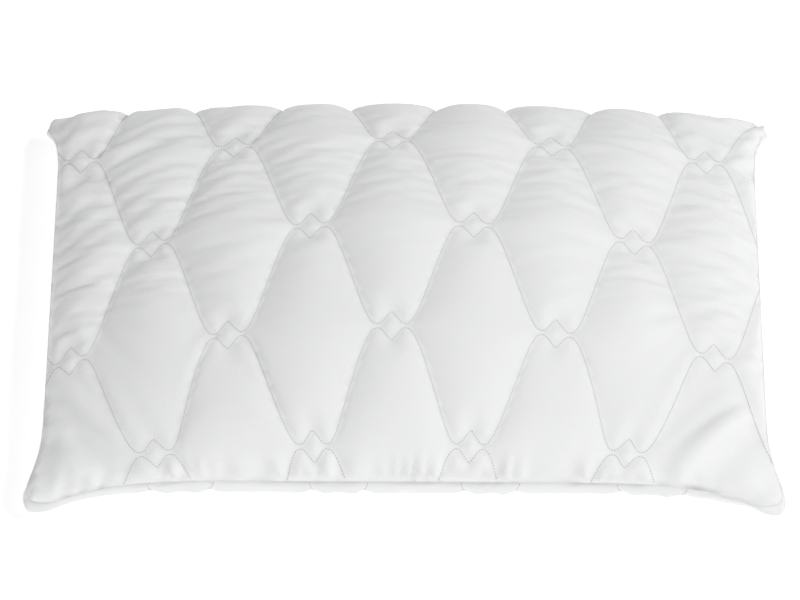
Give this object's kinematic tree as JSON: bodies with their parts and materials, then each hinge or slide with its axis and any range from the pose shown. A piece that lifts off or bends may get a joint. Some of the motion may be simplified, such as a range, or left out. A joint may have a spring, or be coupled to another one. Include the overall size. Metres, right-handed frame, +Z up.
{
  "type": "bed pillow",
  "caption": "Quilted rectangular bed pillow, filled and lying flat, with two stitched panels joined by a plain edge seam.",
  "frame": {"origin": "on the floor under the middle of the pillow", "axes": "+X along the long side, +Y towards the back long edge, +Z up through the thickness"},
  "size_m": [0.7272, 0.4825, 0.1392],
  "materials": {
    "cover_fabric": "smooth fine weave, matt with a slight sheen",
    "wadding_fibre": "soft matt fibre sheet",
    "lining_fabric": "thin matt non-woven cloth",
    "filling_fibre": "loose matt fibre",
    "sewing_thread": "spun polyester thread, slightly glossy"
  },
  "bodies": {
    "root": {"bottom_cover_fabric": "cover_fabric", "bottom_lining": "lining_fabric", "bottom_quilt_thread_1": "sewing_thread", "bottom_quilt_thread_10": "sewing_thread", "bottom_quilt_thread_11": "sewing_thread", "bottom_quilt_thread_12": "sewing_thread", "bottom_quilt_thread_2": "sewing_thread", "bottom_quilt_thread_3": "sewing_thread", "bottom_quilt_thread_4": "sewing_thread", "bottom_quilt_thread_5": "sewing_thread", "bottom_quilt_thread_6": "sewing_thread", "bottom_quilt_thread_7": "sewing_thread", "bottom_quilt_thread_8": "sewing_thread", "bottom_quilt_thread_9": "sewing_thread", "bottom_quilt_wadding": "wadding_fibre", "closing_seam_thread": "sewing_thread", "edge_seam_thread": "sewing_thread", "fibre_filling": "filling_fibre", "top_cover_fabric": "cover_fabric", "top_lining": "lining_fabric", "top_quilt_thread_1": "sewing_thread", "top_quilt_thread_10": "sewing_thread", "top_quilt_thread_11": "sewing_thread", "top_quilt_thread_12": "sewing_thread", "top_quilt_thread_2": "sewing_thread", "top_quilt_thread_3": "sewing_thread", "top_quilt_thread_4": "sewing_thread", "top_quilt_thread_5": "sewing_thread", "top_quilt_thread_6": "sewing_thread", "top_quilt_thread_7": "sewing_thread", "top_quilt_thread_8": "sewing_thread", "top_quilt_thread_9": "sewing_thread", "top_quilt_wadding": "wadding_fibre"}
  },
  "joints": []
}
